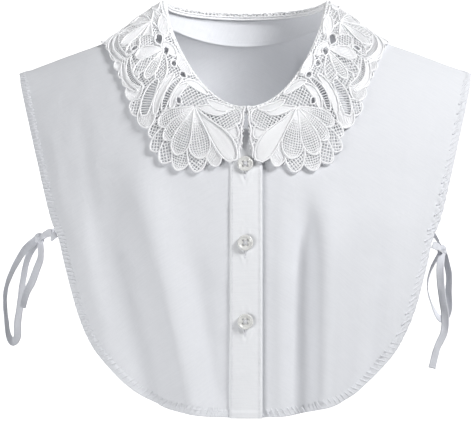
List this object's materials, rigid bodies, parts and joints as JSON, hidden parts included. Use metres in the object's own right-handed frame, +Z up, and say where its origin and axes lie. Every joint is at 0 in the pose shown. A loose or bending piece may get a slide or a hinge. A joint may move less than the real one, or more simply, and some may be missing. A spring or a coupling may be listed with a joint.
{
  "type": "lace collar dickey",
  "caption": "Sleeveless half-shirt of thin white cotton with a turned-down guipure lace collar, a buttoned front placket and side ties, in its worn hollow form.",
  "frame": {"origin": "centre of the neck opening at the height of the shoulder neck points, where the wearer's neck and shoulders carry the garment", "axes": "+Z up, the front faces -Y, +X towards the wearer's left side"},
  "size_m": [0.365, 0.21, 0.315],
  "materials": {
    "cotton": "thin plain-weave white cotton, matt, slightly crumpled",
    "lace": "white guipure lace, raised cotton embroidery with net grounds, soft sheen",
    "tape": "narrow white cotton tape, matt",
    "button": "small pearly white four-hole shirt button"
  },
  "bodies": {
    "root": {"front_panel_right": "cotton", "front_panel_left": "cotton", "back_panel": "cotton", "front_placket": "cotton", "neck_stand": "cotton", "lace_collar_right": "lace", "lace_collar_left": "lace", "button_1": "button", "button_2": "button", "button_3": "button", "tie_left_front_run": "tape", "tie_left_back_run": "tape", "tie_left_knot": "tape", "tie_left_loop": "tape", "tie_left_tail": "tape", "tie_right_front_run": "tape", "tie_right_back_run": "tape", "tie_right_knot": "tape", "tie_right_loop": "tape", "tie_right_tail": "tape"}
  },
  "joints": []
}
